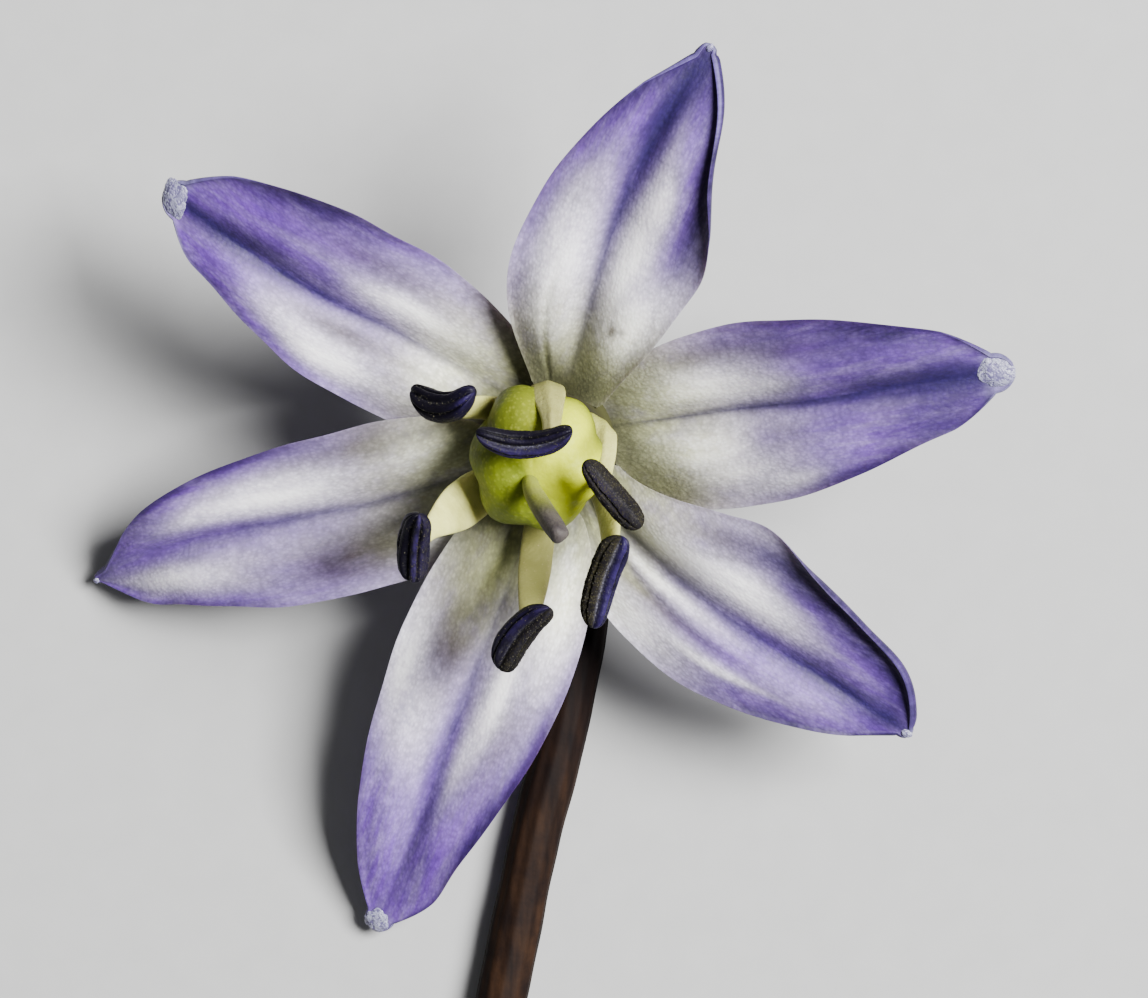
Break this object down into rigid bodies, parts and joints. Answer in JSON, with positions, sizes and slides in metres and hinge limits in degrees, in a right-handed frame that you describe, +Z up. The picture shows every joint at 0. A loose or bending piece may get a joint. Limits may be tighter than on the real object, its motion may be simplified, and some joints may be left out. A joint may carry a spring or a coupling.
{
  "type": "squill flower",
  "caption": "Picked squill flower lying on its hooked stalk, a violet and white star of long tepals round a yellow-green ovary with dark blue anthers.",
  "frame": {"origin": "on the table, under the middle of the flower's bounding box", "axes": "+Z up from the table, the way the bloom mostly opens; +Y along the table, away from the stalk's cut end"},
  "size_m": [0.0276, 0.0317, 0.0123],
  "materials": {
    "tepal": "soft petal, white to violet",
    "filament": "satin cream",
    "anther": "matt blue-black",
    "ovary": "satin yellow-green",
    "style": "satin, greenish to lilac-grey",
    "stalk": "satin purple-brown"
  },
  "bodies": {
    "root": {"stalk": "stalk", "tepal_top": "tepal", "tepal_upper_left": "tepal", "tepal_left": "tepal", "tepal_bottom": "tepal", "tepal_lower_right": "tepal", "tepal_right": "tepal", "filament_top": "filament", "filament_upper_left": "filament", "filament_left": "filament", "filament_bottom": "filament", "filament_lower_right": "filament", "filament_right": "filament", "anther_top": "anther", "anther_upper_left": "anther", "anther_left": "anther", "anther_bottom": "anther", "anther_lower_right": "anther", "anther_right": "anther", "ovary": "ovary", "style": "style"}
  },
  "joints": []
}
